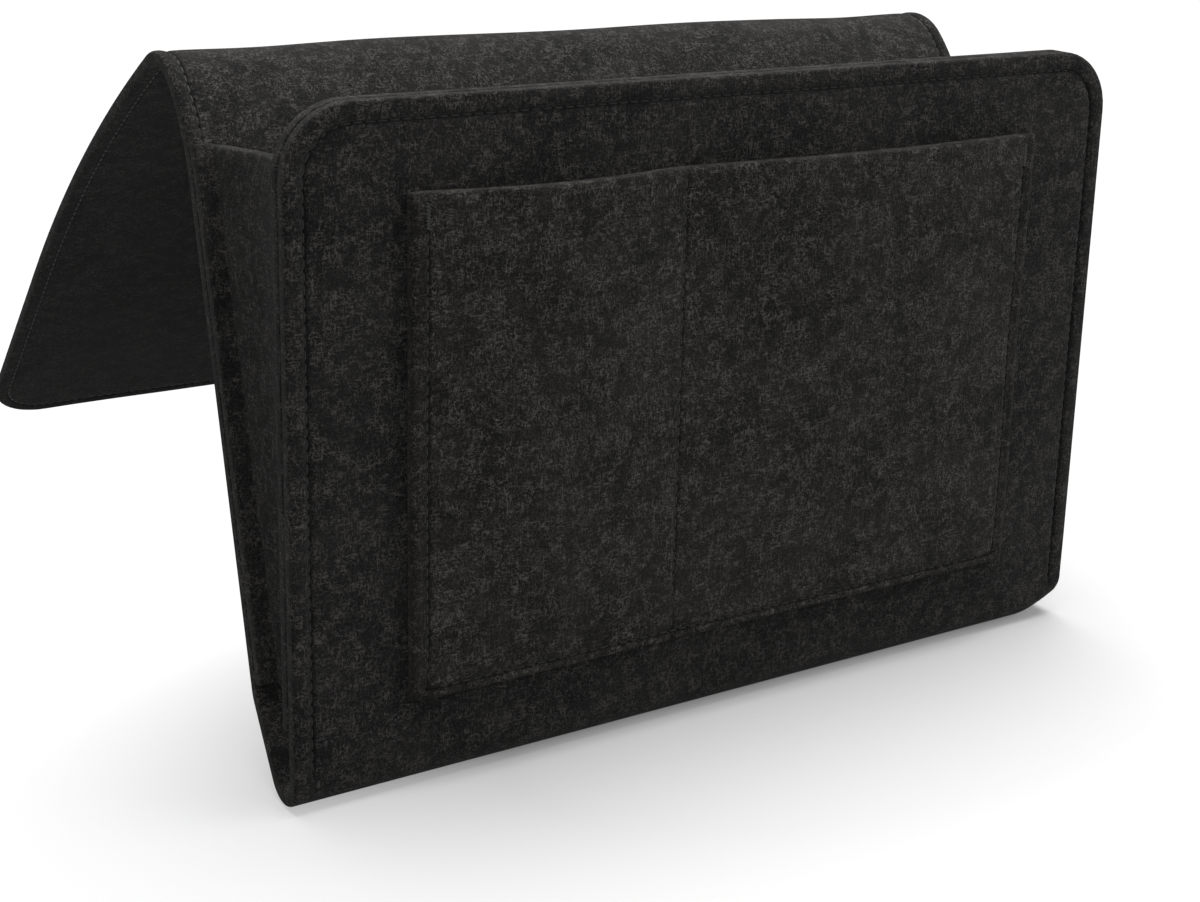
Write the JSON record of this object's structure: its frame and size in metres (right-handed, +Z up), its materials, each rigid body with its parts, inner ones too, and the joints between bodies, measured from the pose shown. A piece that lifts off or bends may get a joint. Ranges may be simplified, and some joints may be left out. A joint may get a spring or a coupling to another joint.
{
  "type": "bedside caddy",
  "caption": "Charcoal felt bedside caddy: an anchor flap for under the mattress, a gusseted pouch over the bed's edge and a divided patch pocket.",
  "frame": {"origin": "middle of the flat stretch of the anchor flap, on its underside", "axes": "+X across the caddy to its right seen from the front, +Y from the front to the end of the flap, +Z up"},
  "size_m": [0.32, 0.3796, 0.227],
  "materials": {
    "felt": "matt heathered charcoal felt",
    "thread": "matt dark sewing thread"
  },
  "bodies": {
    "flap": {"anchor_flap": "felt", "flap_topstitch": "thread"},
    "back": {"crown_fold": "felt", "crown_seam_left": "thread", "crown_seam_right": "thread", "back_panel": "felt", "back_seam_left": "thread", "back_seam_right": "thread", "bottom_fold": "felt", "gusset_left": "felt", "gusset_right": "felt"},
    "front": {"front_panel": "felt", "front_lining": "felt", "patch_pocket": "felt", "front_topstitch": "thread", "pocket_seam": "thread", "pocket_divider_seam": "thread", "bartack_left": "thread", "bartack_right": "thread"}
  },
  "joints": [
    {"name": "crown_hinge", "type": "hinge", "parent": "flap", "child": "back", "pos_m": [0, -0.21342, 0.1512], "axis": [1, 0, 0], "range_deg": [-115, 60], "deforming": ["crown_fold", "crown_seam_left", "crown_seam_right"]},
    {"name": "bottom_hinge", "type": "hinge", "parent": "back", "child": "front", "pos_m": [0, -0.29918, -0.06585], "axis": [1, 0, 0], "range_deg": [-14, 0], "deforming": ["gusset_left", "gusset_right"]}
  ]
}
